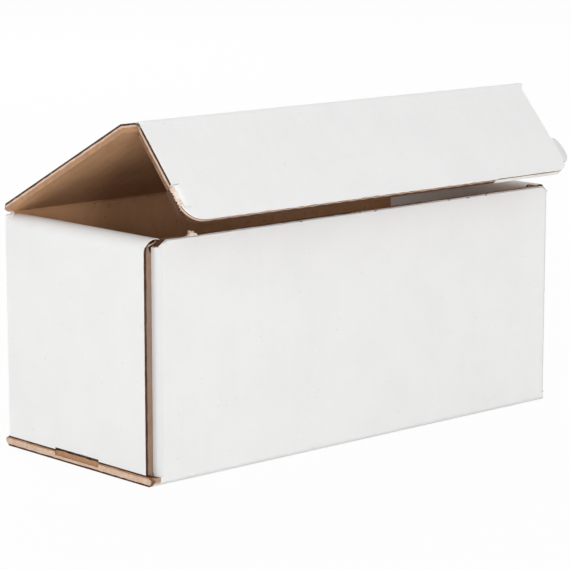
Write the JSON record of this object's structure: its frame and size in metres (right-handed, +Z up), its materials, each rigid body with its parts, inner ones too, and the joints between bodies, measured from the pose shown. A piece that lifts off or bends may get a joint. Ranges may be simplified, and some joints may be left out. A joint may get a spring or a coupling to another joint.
{
  "type": "corrugated mailer box",
  "caption": "White corrugated mailer box with kraft inside, rolled end walls, a hinged lid and a tuck flap with locking ears.",
  "frame": {"origin": "middle of the base's underside, on the surface that the box stands on", "axes": "+X along the long front, to the right as seen from the front; +Y from the front to the back, where the lid is hinged; +Z up"},
  "size_m": [0.2538, 0.1204, 0.1541],
  "materials": {
    "board": "matte"
  },
  "bodies": {
    "tray": {"tray": "board"},
    "lid": {"lid": "board"},
    "tuck_flap": {"tuck_flap": "board"}
  },
  "joints": [
    {"name": "lid_hinge", "type": "hinge", "parent": "tray", "child": "lid", "pos_m": [0, 0.05, 0.1086], "axis": [-1, 0, 0], "range_deg": [-6, 150]},
    {"name": "tuck_fold", "type": "hinge", "parent": "lid", "child": "tuck_flap", "pos_m": [0, -0.03434, 0.15232], "axis": [1, 0, 0], "range_deg": [-76, 2]}
  ]
}
